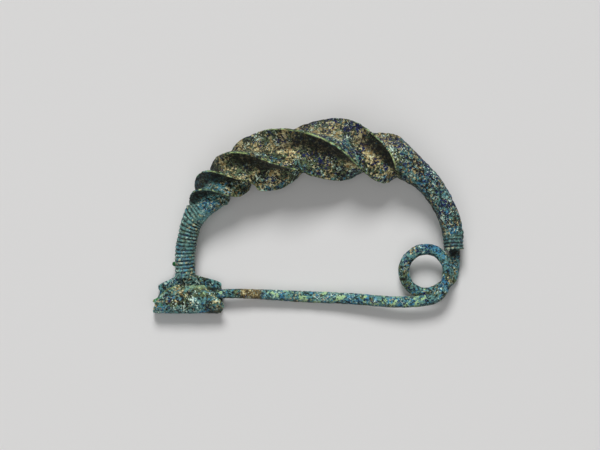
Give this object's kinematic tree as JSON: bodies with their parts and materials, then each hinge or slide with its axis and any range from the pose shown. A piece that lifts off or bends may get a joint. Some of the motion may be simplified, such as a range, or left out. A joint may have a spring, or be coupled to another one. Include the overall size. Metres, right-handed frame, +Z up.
{
  "type": "fibula brooch",
  "caption": "Ancient bronze safety-pin brooch with a twisted fluted bow, ringed stem, wire spring, long pin and folded catch-plate.",
  "frame": {"origin": "middle of the brooch's outline on the surface it lies on", "axes": "+Z up as the brooch lies on its side, +X along the pin from the catch-plate to the spring, +Y towards the crown of the bow"},
  "size_m": [0.0794, 0.0496, 0.0161],
  "materials": {
    "bronze": "matt corroded bronze patina, teal and green with dark blue speckles and buff crust"
  },
  "bodies": {
    "root": {"fibula": "bronze"}
  },
  "joints": []
}
